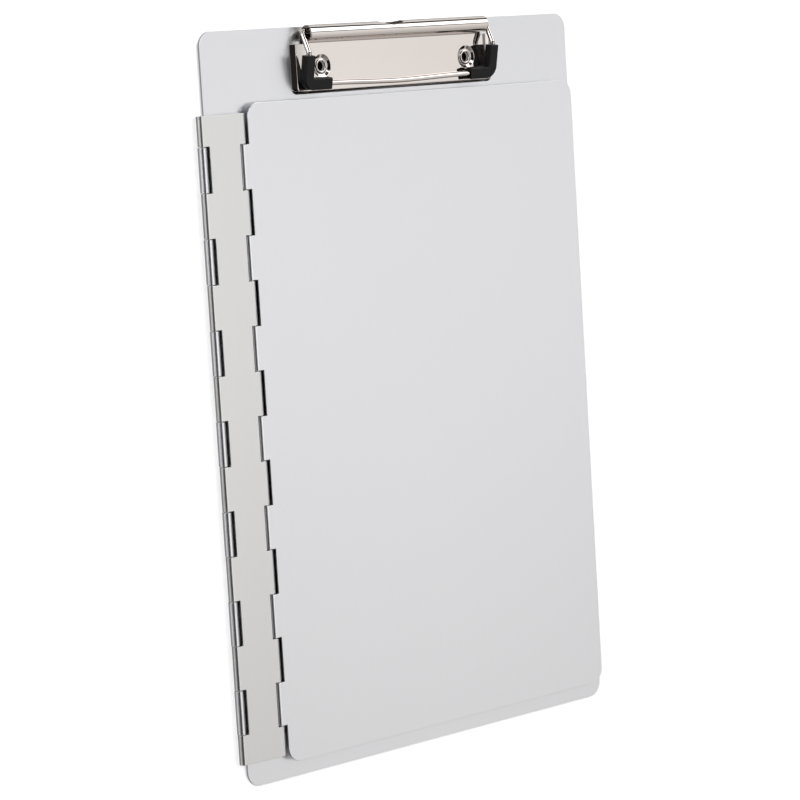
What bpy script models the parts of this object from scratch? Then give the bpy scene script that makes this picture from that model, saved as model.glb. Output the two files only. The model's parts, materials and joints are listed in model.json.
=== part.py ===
"""Aluminium clipboard with a hinged cover and a sprung wire clip.

The clipboard lies on its back: +X to its right, +Y towards the clip, +Z out of the front, and the
origin at the bottom centre of its box.  Lengths are in metres.  The board, the spine strip and the
front cover are sheets whose edges are rolled into hinge knuckles, and two long pins join them.
"""
import math

import bmesh
import bpy
from mathutils import Matrix, Vector

# Sheets and clearances
BOARD_SHEET = 0.0010
LEAF_SHEET = 0.0008
CLIP_SHEET = 0.0008
REST_GAP = 0.0003

# Board
BOARD_WIDTH = 0.230
BOARD_LENGTH = 0.340
CORNER_RADIUS = 0.007
CORNER_STEPS = 6

# Hinges
PIN_RADIUS = 0.0010
BORE_RADIUS = 0.00105
HINGE_SETBACK = 0.003
AXIS_SPACING = 0.022
KNUCKLE_LENGTH = 0.0203
END_KNUCKLE_LENGTH = 0.0139
KNUCKLE_COUNT = 15
KNUCKLE_GAP = 0.0004
SPINE_TOP_Y = 0.1333
ROLL_SWEEP = 285.0
ROLL_STEPS = 19
SHARP_ANGLE = 32.0
PIN_SIDES = 24
PIN_RECESS = 0.0003

# Depth of the notches that face the other sheet's knuckles, from the hinge axis
SPINE_OUTER_NOTCH = 0.0029
SPINE_INNER_NOTCH = 0.0024
COVER_NOTCH = 0.0027

# Cover
COVER_WIDTH = 0.209
COVER_TOP_Y = 0.1374
COVER_BOTTOM_Y = -0.1624

# Clip base plate
TRAY_HALF_WIDTH = 0.0630
TRAY_FRONT_Y = 0.1395
TRAY_BACK_Y = 0.1620
TRAY_TOP_Z = 0.0026
TRAY_EDGE_WIDTH = 0.00135
TRAY_CORNER = 0.0028
TRAY_SIDE_EDGE = 0.0021
TRAY_SIDE_CORNER = 0.0032
EDGE_STRAIGHT = 0.75
EDGE_FLAT = 2.0 - EDGE_STRAIGHT
EDGE_SHARES = (0.0, EDGE_STRAIGHT, 0.9, 1.05, EDGE_FLAT)
WING_START = 0.054
WING_STEPS = (0.0040, 0.0060, 0.0090)
WING_RISE = 0.0008
TUBE_RADIUS = 0.0037
TUBE_HALF_LENGTH = 0.0557
TUBE_Y = 0.1668
TUBE_SEAM_ANGLE = 212.0
TUBE_STEPS = 24
SLOT_X = -0.0042
SLOT_HALF_WIDTH = 0.0080
SLOT_HALF_HEIGHT = 0.0027
SLOT_RISE = 0.0006
SLOT_START_Y = 0.0010
WELD_INSET = 0.00005
WELD_LAP = 0.0008

# Eyelets that hold the clip on the board
EYELET_X = 0.0455
EYELET_Y = 0.1517
EYELET_BORE = 0.00215
EYELET_WALL = 0.00035
EYELET_FLANGE = 0.00335
EYELET_HOLE = 0.0028
EYELET_FLANGE_HEIGHT = 0.0005
EYELET_EASE = 0.00022
EYELET_FLARE = 0.0031
EYELET_FLUSH = 0.00005
FLARE_RECESS = 0.0035
FLARE_DEPTH = 0.00075
FLARE_CONE = 0.0004
SEAT_RADIUS = 0.0055
SEAT_DEPTH = 0.00045
SEAT_SLOPE = 0.0010
SEAT_UNDERSIDE = 0.0003
ROUND_SIDES = 32

# Wire bail and its corner caps
WIRE_RADIUS = 0.0012
WIRE_SIDES = 14
LEG_OFFSET_Y = 0.0010
LEG_OFFSET_Z = -0.0010
LEG_INNER_X = 0.0135
ARM_X = 0.0578
BAR_Y = 0.1439
BAR_Z = 0.0056
BAR_BOW_Y = 0.0009
BAR_STEPS = 12
CREST_Y = 0.1580
CREST_Z = 0.0085
LEG_BEND = 0.0024
CREST_BEND = 0.0030
CORNER_BEND = 0.0030
BEND_STEPS = 6
CREST_STEPS = 3
CAP_WIDTH = 0.0054
CAP_DEPTH = 0.0038
CAP_TOP_Y = 0.1567
CAP_END_X = 0.0439
CAP_CLEARANCE = 0.0002
CAP_SIDES = 24
CAP_SQUARENESS = 6

# Derived places
BOARD_BARREL = BORE_RADIUS + BOARD_SHEET
LEAF_BARREL = BORE_RADIUS + LEAF_SHEET
TOTAL_WIDTH = BOARD_BARREL + HINGE_SETBACK + BOARD_WIDTH
OUTER_AXIS_X = -TOTAL_WIDTH / 2 + BOARD_BARREL
OUTER_AXIS_Z = BOARD_BARREL
INNER_AXIS_X = OUTER_AXIS_X + AXIS_SPACING
INNER_AXIS_Z = BOARD_SHEET + REST_GAP + LEAF_BARREL
BOARD_LEFT = OUTER_AXIS_X + HINGE_SETBACK
BOARD_RIGHT = BOARD_LEFT + BOARD_WIDTH
CLIP_X = BOARD_LEFT + BOARD_WIDTH / 2
SKIRT_Z = BOARD_SHEET + REST_GAP
TUBE_Z = SKIRT_Z + TUBE_RADIUS
LEG_Y = TUBE_Y + LEG_OFFSET_Y
LEG_Z = TUBE_Z + LEG_OFFSET_Z
BAR_MIDDLE_Z = TRAY_TOP_Z + REST_GAP + WIRE_RADIUS


def clear_scene():
    """Remove whatever the open file holds."""
    for item in list(bpy.data.objects):
        bpy.data.objects.remove(item, do_unlink=True)


def make_material(name, colour, roughness, metallic):
    """A Principled material of one colour."""
    material = bpy.data.materials.new(name)
    material.use_nodes = True
    shader = material.node_tree.nodes["Principled BSDF"]
    shader.inputs["Base Color"].default_value = (*colour, 1.0)
    shader.inputs["Roughness"].default_value = roughness
    shader.inputs["Metallic"].default_value = metallic
    return material


def make_object(name, mesh_builder, material=None, location=(0, 0, 0), tilt=0.0):
    """Turn a bmesh into a named object, its faces out and its round sides smooth."""
    bmesh.ops.recalc_face_normals(mesh_builder, faces=mesh_builder.faces)
    mesh = bpy.data.meshes.new(name)
    mesh_builder.to_mesh(mesh)
    mesh_builder.free()
    mesh.shade_smooth()
    mesh.set_sharp_from_angle(angle=math.radians(SHARP_ANGLE))
    if material:
        mesh.materials.append(material)
    made = bpy.data.objects.new(name, mesh)
    made.location = location
    made.rotation_euler = (0, tilt, 0)
    bpy.context.scene.collection.objects.link(made)
    return made


def add_boolean(target, cutter, operation):
    """Cut or join a helper object, which stays hidden."""
    modifier = target.modifiers.new(operation.title(), "BOOLEAN")
    modifier.operation = operation
    modifier.object = cutter
    modifier.solver = "EXACT"
    cutter.hide_render = True
    cutter.display_type = "WIRE"


def bridge_rings(builder, first, second):
    """Quads between two rings of the same number of vertices."""
    for index in range(len(first)):
        following = (index + 1) % len(first)
        builder.faces.new((first[index], first[following], second[following], second[index]))


def circle_section(radius, sides):
    """Points of a circle."""
    angles = [2 * math.pi * step / sides for step in range(sides)]
    return [(radius * math.cos(angle), radius * math.sin(angle)) for angle in angles]


def level_ring(builder, radius, height, centre_x=0.0, centre_y=0.0):
    """A level circle of vertices."""
    section = circle_section(radius, ROUND_SIDES)
    return [builder.verts.new((centre_x + u, centre_y + v, height)) for u, v in section]


def turned_ring(name, profile, material, centre):
    """Turn a closed profile of (radius, height) points about the vertical."""
    builder = bmesh.new()
    rings = [level_ring(builder, radius, height) for radius, height in profile]
    for inner, outer in zip(rings, rings[1:] + rings[:1]):
        bridge_rings(builder, inner, outer)
    return make_object(name, builder, material, centre)


def turned_cutter(name, profile, centre):
    """Turn an open profile about the vertical and close it with two flat ends, to cut with."""
    builder = bmesh.new()
    rings = [level_ring(builder, radius, height) for radius, height in profile]
    for lower, upper in zip(rings, rings[1:]):
        bridge_rings(builder, lower, upper)
    builder.faces.new(rings[0][::-1])
    builder.faces.new(rings[-1])
    return make_object(name, builder, None, centre)


def corner_arc(centre_x, centre_y, start_degrees):
    """Points of a quarter circle that rounds a sheet's corner, anticlockwise."""
    points = []
    for step in range(CORNER_STEPS + 1):
        angle = math.radians(start_degrees + 90.0 * step / CORNER_STEPS)
        x = centre_x + CORNER_RADIUS * math.cos(angle)
        y = centre_y + CORNER_RADIUS * math.sin(angle)
        points.append((x, y))
    return points


def knuckle_spans(first, last):
    """The (low, high) Y spans of every other knuckle, from the bottom up."""
    total = 2 * END_KNUCKLE_LENGTH + (KNUCKLE_COUNT - 2) * KNUCKLE_LENGTH
    edges = [SPINE_TOP_Y - total]
    for index in range(KNUCKLE_COUNT):
        at_end = index in (0, KNUCKLE_COUNT - 1)
        edges.append(edges[-1] + (END_KNUCKLE_LENGTH if at_end else KNUCKLE_LENGTH))
    return [
        (edges[index] + KNUCKLE_GAP / 2, edges[index + 1] - KNUCKLE_GAP / 2)
        for index in range(first, last, 2)
    ]


SPINE_KNUCKLES = knuckle_spans(0, KNUCKLE_COUNT)
LEAF_KNUCKLES = knuckle_spans(1, KNUCKLE_COUNT)


def tabs_down(spans, edge_x, axis_x):
    """Outline points down a left edge whose tabs reach the hinge axis, and which edges roll."""
    points = []
    rolled = []
    for low, high in reversed(spans):
        points.append((edge_x, high))
        rolled.append(len(points))
        points.append((axis_x, high))
        points.append((axis_x, low))
        points.append((edge_x, low))
    return points, rolled


def spine_side(spans, axis_x, notch_x, upward):
    """Outline points along one long side of the spine, and which edges roll."""
    points = []
    rolled = []
    for index, (low, high) in enumerate(spans):
        if index > 0:
            points.append((notch_x, low))
        rolled.append(len(points))
        points.append((axis_x, low))
        points.append((axis_x, high))
        if index < len(spans) - 1:
            points.append((notch_x, high))
    if upward:
        return points, rolled
    flipped = [len(points) - 2 - index for index in rolled]
    return points[::-1], flipped


def add_roll(builder, low_pair, high_pair, axis, radii, start, direction, outer_is_low):
    """Roll a sheet's edge round a hinge axis, from one end of a knuckle to the other."""
    outer = [[vertex] for vertex in (low_pair if outer_is_low else high_pair)]
    inner = [[vertex] for vertex in (high_pair if outer_is_low else low_pair)]
    for step in range(1, ROLL_STEPS + 1):
        angle = math.radians(start + direction * ROLL_SWEEP * step / ROLL_STEPS)
        for chains, radius in ((inner, radii[0]), (outer, radii[1])):
            x = axis[0] + radius * math.cos(angle)
            z = axis[1] + radius * math.sin(angle)
            for end, chain in enumerate(chains):
                chain.append(builder.verts.new((x, low_pair[end].co.y, z)))
    walls = ((outer[0], outer[1]), (inner[0], inner[1]), (outer[0], inner[0]), (outer[1], inner[1]))
    for first, second in walls:
        for step in range(ROLL_STEPS):
            builder.faces.new((first[step], first[step + 1], second[step + 1], second[step]))
    builder.faces.new((outer[0][-1], inner[0][-1], inner[1][-1], outer[1][-1]))


def rolled_sheet(name, outline, rolls, low_z, high_z, material, location=(0, 0, 0), tilt=0.0):
    """A flat sheet with rolled edges.  rolls maps an outline edge to the roll's arguments."""
    builder = bmesh.new()
    low = [builder.verts.new((x, y, low_z)) for x, y in outline]
    high = [builder.verts.new((x, y, high_z)) for x, y in outline]
    builder.faces.new(high)
    builder.faces.new(low[::-1])
    for index in range(len(outline)):
        following = (index + 1) % len(outline)
        if index in rolls:
            low_pair = (low[index], low[following])
            high_pair = (high[index], high[following])
            add_roll(builder, low_pair, high_pair, *rolls[index])
        else:
            builder.faces.new((low[index], low[following], high[following], high[index]))
    return make_object(name, builder, material, location, tilt)


def cut_eyelet_hole(board, name, x):
    """Cut one eyelet's hole through the board, with a shallow recess for its flare in the back."""
    below = -REST_GAP
    above = BOARD_SHEET + REST_GAP
    profile = (
        (FLARE_RECESS, below), (FLARE_RECESS, FLARE_DEPTH - FLARE_CONE),
        (EYELET_HOLE, FLARE_DEPTH), (EYELET_HOLE, above),
    )
    cutter = turned_cutter(name, profile, (x, EYELET_Y, 0))
    add_boolean(board, cutter, "DIFFERENCE")


def build_board(material):
    """The back board, with the outer hinge's knuckles on its left edge and two eyelet holes."""
    inset = CORNER_RADIUS
    half = BOARD_LENGTH / 2
    outline = corner_arc(BOARD_LEFT + inset, -half + inset, 180)
    outline += corner_arc(BOARD_RIGHT - inset, -half + inset, 270)
    outline += corner_arc(BOARD_RIGHT - inset, half - inset, 0)
    outline += corner_arc(BOARD_LEFT + inset, half - inset, 90)
    side, rolled = tabs_down(LEAF_KNUCKLES, BOARD_LEFT, OUTER_AXIS_X)
    axis = (OUTER_AXIS_X, OUTER_AXIS_Z)
    radii = (BORE_RADIUS, BOARD_BARREL)
    rolls = {len(outline) + index: (axis, radii, -90, -1, True) for index in rolled}
    board = rolled_sheet("back_board", outline + side, rolls, 0.0, BOARD_SHEET, material)
    cut_eyelet_hole(board, "left_hole_cutter", CLIP_X - EYELET_X)
    cut_eyelet_hole(board, "right_hole_cutter", CLIP_X + EYELET_X)
    return board


def build_spine(material):
    """The strip between the two hinges, with knuckles on both long sides."""
    rise = INNER_AXIS_Z - OUTER_AXIS_Z
    length = math.hypot(AXIS_SPACING, rise)
    right, right_rolls = spine_side(SPINE_KNUCKLES, length, length - SPINE_INNER_NOTCH, True)
    left, left_rolls = spine_side(SPINE_KNUCKLES, 0.0, SPINE_OUTER_NOTCH, False)
    radii = (BORE_RADIUS, LEAF_BARREL)
    rolls = {index: ((length, 0.0), radii, 90, -1, False) for index in right_rolls}
    for index in left_rolls:
        rolls[len(right) + index] = ((0.0, 0.0), radii, 90, 1, False)
    place = (OUTER_AXIS_X, 0, OUTER_AXIS_Z)
    tilt = -math.atan2(rise, AXIS_SPACING)
    outline = right + left
    return rolled_sheet("spine_strip", outline, rolls, BORE_RADIUS, LEAF_BARREL, material, place, tilt)


def build_cover(material):
    """The front cover, with the inner hinge's knuckles on its left edge."""
    inset = CORNER_RADIUS
    left = COVER_NOTCH
    outline = corner_arc(left + inset, COVER_BOTTOM_Y + inset, 180)
    outline += corner_arc(COVER_WIDTH - inset, COVER_BOTTOM_Y + inset, 270)
    outline += corner_arc(COVER_WIDTH - inset, COVER_TOP_Y - inset, 0)
    outline += corner_arc(left + inset, COVER_TOP_Y - inset, 90)
    side, rolled = tabs_down(LEAF_KNUCKLES, left, 0.0)
    radii = (BORE_RADIUS, LEAF_BARREL)
    rolls = {len(outline) + index: ((0.0, 0.0), radii, 90, 1, False) for index in rolled}
    place = (INNER_AXIS_X, 0, INNER_AXIS_Z)
    return rolled_sheet("front_cover", outline + side, rolls, BORE_RADIUS, LEAF_BARREL, material, place)


def build_pin(name, axis_x, axis_z, material):
    """A hinge pin, a little shorter than the row of knuckles it runs through."""
    low = SPINE_KNUCKLES[0][0] + PIN_RECESS
    high = SPINE_KNUCKLES[-1][1] - PIN_RECESS
    builder = bmesh.new()
    bmesh.ops.create_cone(
        builder, cap_ends=True, segments=PIN_SIDES,
        radius1=PIN_RADIUS, radius2=PIN_RADIUS, depth=high - low,
    )
    turn = Matrix.Rotation(math.radians(90), 4, "X")
    bmesh.ops.transform(builder, matrix=turn, verts=builder.verts)
    return make_object(name, builder, material, (axis_x, (low + high) / 2, axis_z))


def edge_slope(share):
    """Height of the turned-down edge, from 0 at its foot to 1 where the sheet is flat.

    It climbs straight at first and then bends over into the floor.
    """
    if share < EDGE_STRAIGHT:
        return share
    return 1.0 - max(0.0, EDGE_FLAT - share) ** 2


def tray_point(x, y, inset):
    """A point of the tray's upper side, or of its underside when inset is the sheet's thickness.

    The front corners are rounded by drawing the square grid in onto quarter ellipses.
    """
    from_side = TRAY_HALF_WIDTH - abs(x)
    from_front = y - TRAY_FRONT_Y
    beyond = max(0.0, (abs(x) - WING_START) / (TRAY_HALF_WIDTH - WING_START))
    crown = TRAY_TOP_Z - inset + WING_RISE * beyond ** 2 - SKIRT_Z
    share_across = (from_side - inset) / (TRAY_SIDE_EDGE - inset)
    share_along = (from_front - inset) / (TRAY_EDGE_WIDTH - inset)
    z = SKIRT_Z + crown * edge_slope(min(share_across, share_along))
    across = 1 - from_side / TRAY_SIDE_CORNER
    along = 1 - from_front / TRAY_CORNER
    if across > 0 and along > 0:
        draw_in = 1 - max(across, along) / math.hypot(across, along)
        x -= math.copysign(TRAY_SIDE_CORNER * across * draw_in, x)
        y += TRAY_CORNER * along * draw_in
    return (x, y, z)


def tray_grid(builder, inset):
    """Vertices of one side of the tray, in rows from the front to the back."""
    side = [inset + (TRAY_SIDE_EDGE - inset) * share for share in EDGE_SHARES] + [TRAY_SIDE_CORNER]
    front = [inset + (TRAY_EDGE_WIDTH - inset) * share for share in EDGE_SHARES] + [TRAY_CORNER]
    right = [TRAY_HALF_WIDTH - distance for distance in side + list(WING_STEPS)]
    columns = [-x for x in right] + right[::-1]
    rows = [TRAY_FRONT_Y + distance for distance in front] + [TRAY_BACK_Y]
    return [[builder.verts.new(tray_point(x, y, inset)) for x in columns] for y in rows]


def grid_faces(builder, grid):
    """Faces of a grid, apart from its flat floor, whose four corners are returned.

    The two front corner cells are split from the corner, so that no face of theirs lies flat.
    """
    columns = len(grid[0]) - 1
    floor = None
    for number, (row, behind) in enumerate(zip(grid, grid[1:])):
        for index in range(columns):
            cell = (row[index], row[index + 1], behind[index + 1], behind[index])
            if number == len(grid) - 2 and index == columns // 2:
                floor = cell
            elif number == 0 and index in (0, columns - 1):
                corner = 0 if index == 0 else 1
                turned = cell[corner:] + cell[:corner]
                builder.faces.new(turned[:3])
                builder.faces.new((turned[0], turned[2], turned[3]))
            else:
                builder.faces.new(cell)
    return floor


def ring_edges(builder, ring):
    """The edges round a ring of vertices, each made if it is missing."""
    edges = []
    for first, second in zip(ring, ring[1:] + ring[:1]):
        edges.append(builder.edges.get((first, second)) or builder.edges.new((first, second)))
    return edges


def fill_floor(builder, floor, widening):
    """Fill the floor round its two sunk eyelet seats, and return the rings of the seats' holes."""
    height = floor[0].co.z
    sunk = height - SEAT_DEPTH
    edges = ring_edges(builder, floor)
    holes = []
    for x in (-EYELET_X, EYELET_X):
        brim = level_ring(builder, SEAT_RADIUS + widening, height, x, EYELET_Y)
        foot = level_ring(builder, SEAT_RADIUS - SEAT_SLOPE + widening, sunk, x, EYELET_Y)
        hole = level_ring(builder, EYELET_HOLE, sunk, x, EYELET_Y)
        bridge_rings(builder, brim, foot)
        bridge_rings(builder, foot, hole)
        edges += ring_edges(builder, brim)
        holes.append(hole)
    bmesh.ops.triangle_fill(builder, edges=edges, use_beauty=True)
    return holes


def build_tray(name, material):
    """The clip's base plate: a flat floor with raised wings and a turned-down skirt."""
    builder = bmesh.new()
    rims = []
    holes = []
    for inset, widening in ((0.0, 0.0), (CLIP_SHEET, SEAT_UNDERSIDE)):
        grid = tray_grid(builder, inset)
        floor = grid_faces(builder, grid)
        holes.append(fill_floor(builder, floor, widening))
        right_side = [row[-1] for row in grid[1:-1]]
        left_side = [row[0] for row in grid[-2:0:-1]]
        rims.append(grid[0] + right_side + grid[-1][::-1] + left_side)
    bridge_rings(builder, rims[0], rims[1])
    for upper, lower in zip(*holes):
        bridge_rings(builder, upper, lower)
    return make_object(name, builder, material, (CLIP_X, 0, 0))


def tube_profile():
    """(outer, inner) pairs of (y, z) points along the strip that is rolled into the spring tube.

    The strip starts just inside the tray's sheet, so that the two can be joined, and dips down to
    the foot of the tube.
    """
    middle = TRAY_TOP_Z - CLIP_SHEET / 2
    half = CLIP_SHEET / 2
    thin = half - WELD_INSET
    pairs = []
    for y, sink, spread in ((-WELD_LAP, 0.0, thin), (WELD_LAP / 2, 0.0, thin), (0.0022, 0.0002, half)):
        place = TRAY_BACK_Y + y
        pairs.append(((place, middle - sink - spread), (place, middle - sink + spread)))
    for step in range(TUBE_STEPS + 1):
        angle = math.radians(-90 + (TUBE_SEAM_ANGLE + 90) * step / TUBE_STEPS)
        across = math.cos(angle)
        up = math.sin(angle)
        outer = (TUBE_Y + TUBE_RADIUS * across, TUBE_Z + TUBE_RADIUS * up)
        bore = TUBE_RADIUS - CLIP_SHEET
        pairs.append((outer, (TUBE_Y + bore * across, TUBE_Z + bore * up)))
    return pairs


def build_tube(name):
    """The rolled back edge of the base plate, as a helper that is joined to the tray."""
    builder = bmesh.new()
    pairs = tube_profile()
    loop = [pair[0] for pair in pairs] + [pair[1] for pair in reversed(pairs)]
    ends = []
    for x in (-TUBE_HALF_LENGTH, TUBE_HALF_LENGTH):
        ends.append([builder.verts.new((x, y, z)) for y, z in loop])
    bridge_rings(builder, ends[0], ends[1])
    for end in ends:
        for index in range(len(pairs) - 1):
            builder.faces.new((end[index], end[index + 1], end[-2 - index], end[-1 - index]))
    return make_object(name, builder, None, (CLIP_X, 0, 0))


def slot_cutter(name):
    """An oval bar that opens the tube's back wall, a little left of its middle and above its axis."""
    builder = bmesh.new()
    ends = []
    for y in (TUBE_Y + SLOT_START_Y, TUBE_Y + TUBE_RADIUS + SLOT_START_Y):
        ends.append([
            builder.verts.new((SLOT_HALF_WIDTH * u, y, TUBE_Z + SLOT_RISE + SLOT_HALF_HEIGHT * v))
            for u, v in circle_section(1.0, ROUND_SIDES)
        ])
    bridge_rings(builder, ends[0], ends[1])
    builder.faces.new(ends[0])
    builder.faces.new(ends[1][::-1])
    return make_object(name, builder, None, (CLIP_X + SLOT_X, 0, 0))


def build_base_plate(material):
    """The tray with its two sunk eyelet seats, and the rolled tube with its slot, as one piece."""
    plate = build_tray("clip_base_plate", material)
    add_boolean(plate, build_tube("tube_helper"), "UNION")
    add_boolean(plate, slot_cutter("slot_cutter"), "DIFFERENCE")
    return plate


def build_eyelet(name, x, material):
    """A hollow eyelet, flanged over its seat and flared into the back of the board."""
    outside = EYELET_BORE + EYELET_WALL
    seat = TRAY_TOP_Z - SEAT_DEPTH + REST_GAP
    flange_top = seat + EYELET_FLANGE_HEIGHT
    flare_end = EYELET_FLARE - EYELET_WALL
    profile = (
        (EYELET_BORE, BOARD_SHEET), (flare_end, EYELET_FLUSH), (EYELET_FLARE, REST_GAP),
        (outside, BOARD_SHEET + EYELET_FLUSH * 2), (outside, seat), (EYELET_FLANGE, seat),
        (EYELET_FLANGE, seat + EYELET_EASE), (EYELET_FLANGE - 2 * EYELET_EASE, flange_top),
        (EYELET_BORE + EYELET_EASE, flange_top), (EYELET_BORE, flange_top - EYELET_EASE),
    )
    return turned_ring(name, profile, material, (x, EYELET_Y, 0))


def fillet(points, corner, radius, steps):
    """Replace one corner of a path by an arc of the given radius."""
    before, at, after = (Vector(points[corner + shift]) for shift in (-1, 0, 1))
    inward = (before - at).normalized()
    outward = (after - at).normalized()
    half = inward.angle(outward) / 2
    reach = radius / math.tan(half)
    centre = at + (inward + outward).normalized() * (radius / math.sin(half))
    first = at + inward * reach - centre
    last = at + outward * reach - centre
    turn = first.angle(last)
    arc = []
    for step in range(steps + 1):
        share = step / steps
        blend = first * math.sin((1 - share) * turn) + last * math.sin(share * turn)
        arc.append(tuple(centre + blend / math.sin(turn)))
    return points[:corner] + arc + points[corner + 1:]


def bar_point(x):
    """The bar bows down and forwards to meet the plate at the middle of the clip."""
    share = min(1.0, abs(x) / CAP_END_X)
    ease = share * share * (3 - 2 * share)
    return (x, BAR_Y - BAR_BOW_Y * (1 - ease), BAR_MIDDLE_Z + (BAR_Z - BAR_MIDDLE_Z) * ease)


def side_path(side):
    """Centre line of one half of the bail, from the leg's inner end to the start of the bar."""
    points = [
        (side * LEG_INNER_X, LEG_Y, LEG_Z), (side * ARM_X, LEG_Y, LEG_Z),
        (side * ARM_X, CREST_Y, CREST_Z), (side * ARM_X, BAR_Y, BAR_Z),
        (side * CAP_END_X, BAR_Y, BAR_Z),
    ]
    points = fillet(points, 3, CORNER_BEND, BEND_STEPS)
    points = fillet(points, 2, CREST_BEND, CREST_STEPS)
    return fillet(points, 1, LEG_BEND, BEND_STEPS)


def cap_path(side):
    """The stretch of the bail that a corner cap covers."""
    slope = (CREST_Z - BAR_Z) / (CREST_Y - BAR_Y)
    top = (side * ARM_X, CAP_TOP_Y, BAR_Z + slope * (CAP_TOP_Y - BAR_Y))
    points = [top, (side * ARM_X, BAR_Y, BAR_Z), (side * CAP_END_X, BAR_Y, BAR_Z)]
    return fillet(points, 1, CORNER_BEND, BEND_STEPS)


def block_section(width, depth, sides):
    """A rounded block's outline, one point for each point of a circle of the same count."""
    points = []
    for u, v in circle_section(1.0, sides):
        scale = (abs(u) ** CAP_SQUARENESS + abs(v) ** CAP_SQUARENESS) ** (-1 / CAP_SQUARENESS)
        points.append((u * scale * width / 2, v * scale * depth / 2))
    return points


def sweep(builder, path, section):
    """Carry a section square along a path of the bail, and return its rings.

    The path is measured from the legs' axis.  One side of the section faces up from the bail's
    plane, which tilts from the bar up to the crest.
    """
    normal = Vector((0, BAR_Z - CREST_Z, CREST_Y - BAR_Y)).normalized()
    points = [Vector((x, y - LEG_Y, z - LEG_Z)) for x, y, z in path]
    rings = []
    for index, here in enumerate(points):
        ahead = points[min(index + 1, len(points) - 1)] - here
        behind = here - points[max(index - 1, 0)]
        tangent = (ahead.normalized() + behind.normalized()).normalized()
        across = normal.cross(tangent).normalized()
        upright = tangent.cross(across)
        rings.append([builder.verts.new(here + across * u + upright * v) for u, v in section])
    for first, second in zip(rings, rings[1:]):
        bridge_rings(builder, first, second)
    return rings


def build_bail(material):
    """The sprung wire: two legs in the tube, two arms and the bar that presses on the paper."""
    stations = [CAP_END_X * (2 * step / BAR_STEPS - 1) for step in range(1, BAR_STEPS)]
    path = side_path(-1) + [bar_point(x) for x in stations] + side_path(1)[::-1]
    builder = bmesh.new()
    rings = sweep(builder, path, circle_section(WIRE_RADIUS, WIRE_SIDES))
    builder.faces.new(rings[0][::-1])
    builder.faces.new(rings[-1])
    return make_object("wire_bail", builder, material, (CLIP_X, LEG_Y, LEG_Z))


def build_cap(name, side, material):
    """A soft L-shaped cap that is threaded on a corner of the bail."""
    builder = bmesh.new()
    path = cap_path(side)
    outer = sweep(builder, path, block_section(CAP_WIDTH, CAP_DEPTH, CAP_SIDES))
    inner = sweep(builder, path, circle_section(WIRE_RADIUS + CAP_CLEARANCE, CAP_SIDES))
    bridge_rings(builder, outer[0], inner[0])
    bridge_rings(builder, outer[-1], inner[-1])
    return make_object(name, builder, material, (CLIP_X, LEG_Y, LEG_Z))


def main():
    """Build every piece."""
    clear_scene()
    satin = (0.74, 0.74, 0.75)
    nickel = (0.78, 0.75, 0.71)
    rubber = (0.012, 0.012, 0.013)
    build_board(make_material("board_aluminium", satin, 0.36, 1.0))
    build_spine(make_material("spine_aluminium", satin, 0.36, 1.0))
    build_cover(make_material("cover_aluminium", satin, 0.36, 1.0))
    outer_steel = make_material("outer_pin_steel", nickel, 0.3, 1.0)
    build_pin("outer_hinge_pin", OUTER_AXIS_X, OUTER_AXIS_Z, outer_steel)
    inner_steel = make_material("inner_pin_steel", nickel, 0.3, 1.0)
    build_pin("inner_hinge_pin", INNER_AXIS_X, INNER_AXIS_Z, inner_steel)
    build_base_plate(make_material("plate_nickel", nickel, 0.06, 1.0))
    build_bail(make_material("bail_nickel", nickel, 0.08, 1.0))
    for side, label in ((-1, "left"), (1, "right")):
        build_cap(label + "_corner_cap", side, make_material(label + "_cap_rubber", rubber, 0.5, 0.0))
        eyelet_nickel = make_material(label + "_eyelet_nickel", nickel, 0.1, 1.0)
        build_eyelet(label + "_eyelet", CLIP_X + side * EYELET_X, eyelet_nickel)


main()
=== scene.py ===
"""Looks of the covered clipboard: its sheets, clip and wire, materials, studio and camera.

Lengths are in metres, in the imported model's frame: +X to the clipboard's right, +Y towards the
clip, +Z out of the front, with the board's back lying on the floor.
"""
import json
import math

import bmesh
import bpy
from mathutils import Matrix, Vector


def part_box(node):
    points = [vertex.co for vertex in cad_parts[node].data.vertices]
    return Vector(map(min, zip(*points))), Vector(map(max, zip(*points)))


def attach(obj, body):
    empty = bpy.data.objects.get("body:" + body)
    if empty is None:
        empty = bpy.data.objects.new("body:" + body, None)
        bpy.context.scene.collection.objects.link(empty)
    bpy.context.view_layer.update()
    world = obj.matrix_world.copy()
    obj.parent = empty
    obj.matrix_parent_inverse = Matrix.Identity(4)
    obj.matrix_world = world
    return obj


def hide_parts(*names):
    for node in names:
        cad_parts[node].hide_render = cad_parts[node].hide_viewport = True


# Sheets and hinges
BOARD_SHEET = 0.0010
LEAF_SHEET = 0.0008
PIN_RADIUS = 0.0010
BORE_RADIUS = 0.00105
HINGE_SETBACK = 0.003
KNUCKLE_LENGTH = 0.0203
END_KNUCKLE_LENGTH = 0.0139
KNUCKLE_COUNT = 15
KNUCKLE_GAP = 0.0004
SPINE_TOP_Y = 0.1333
SPINE_OUTER_NOTCH = 0.0029
SPINE_INNER_NOTCH = 0.0024
COVER_NOTCH = 0.0027
CORNER_RADIUS = 0.007
CORNER_STEPS = 20
ROLL_SWEEP = 285.0
ROLL_STEPS = 48
SHEET_EDGE = 0.00026
PIN_SIDES = 48
PIN_EDGE = 0.0003

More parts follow.
